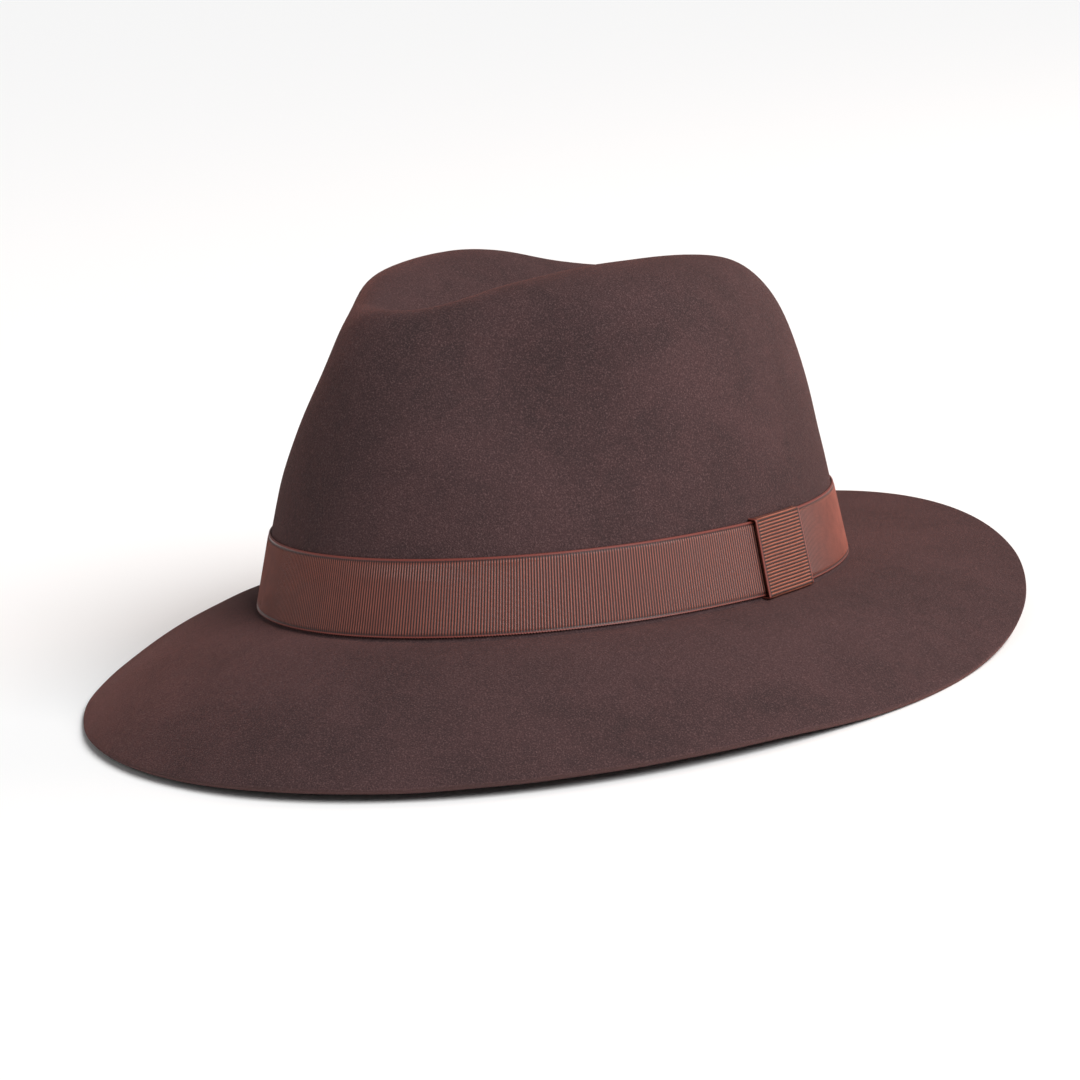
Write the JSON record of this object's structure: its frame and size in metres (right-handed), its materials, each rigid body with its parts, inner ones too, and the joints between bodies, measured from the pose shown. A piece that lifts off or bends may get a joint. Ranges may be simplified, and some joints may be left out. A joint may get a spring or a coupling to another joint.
{
  "type": "fedora hat",
  "caption": "Soft felt fedora with a pinched, dented crown, wide raw-edge snap brim, ribbed ribbon band with keeper, leather sweatband and satin lining.",
  "frame": {"origin": "centre of the hat's box at its base, where the brim stands on a level surface", "axes": "front of the hat towards -Y, wearer's left towards +X, crown towards +Z"},
  "size_m": [0.2828, 0.3226, 0.1302],
  "materials": {
    "fur_felt": "short velour nap",
    "ribbed_ribbon": "ribbed, slight sheen",
    "keeper_ribbon": "ribbed, slight sheen",
    "sweatband_leather": "fine-grained, semi-gloss",
    "reed_plastic": "clear moulded",
    "woven_tape": "plain weave",
    "sewing_thread": "twisted, matt",
    "bow_ribbon": "satin ribbon",
    "blank_label": "plain coated cloth, blank",
    "lining_satin": "satin",
    "seam_piping": "satin-covered cord"
  },
  "bodies": {
    "root": {"felt_body": "fur_felt", "hat_band": "ribbed_ribbon", "band_keeper": "keeper_ribbon", "sweatband": "sweatband_leather", "reed": "reed_plastic", "reed_tape": "woven_tape", "sweatband_thread": "sewing_thread", "seam_zigzag": "sewing_thread", "bow_loop_left": "bow_ribbon", "bow_loop_right": "bow_ribbon", "bow_knot": "bow_ribbon", "size_label": "blank_label", "lining_side": "lining_satin", "lining_tip": "lining_satin", "tip_seam_cord": "seam_piping"}
  },
  "joints": []
}
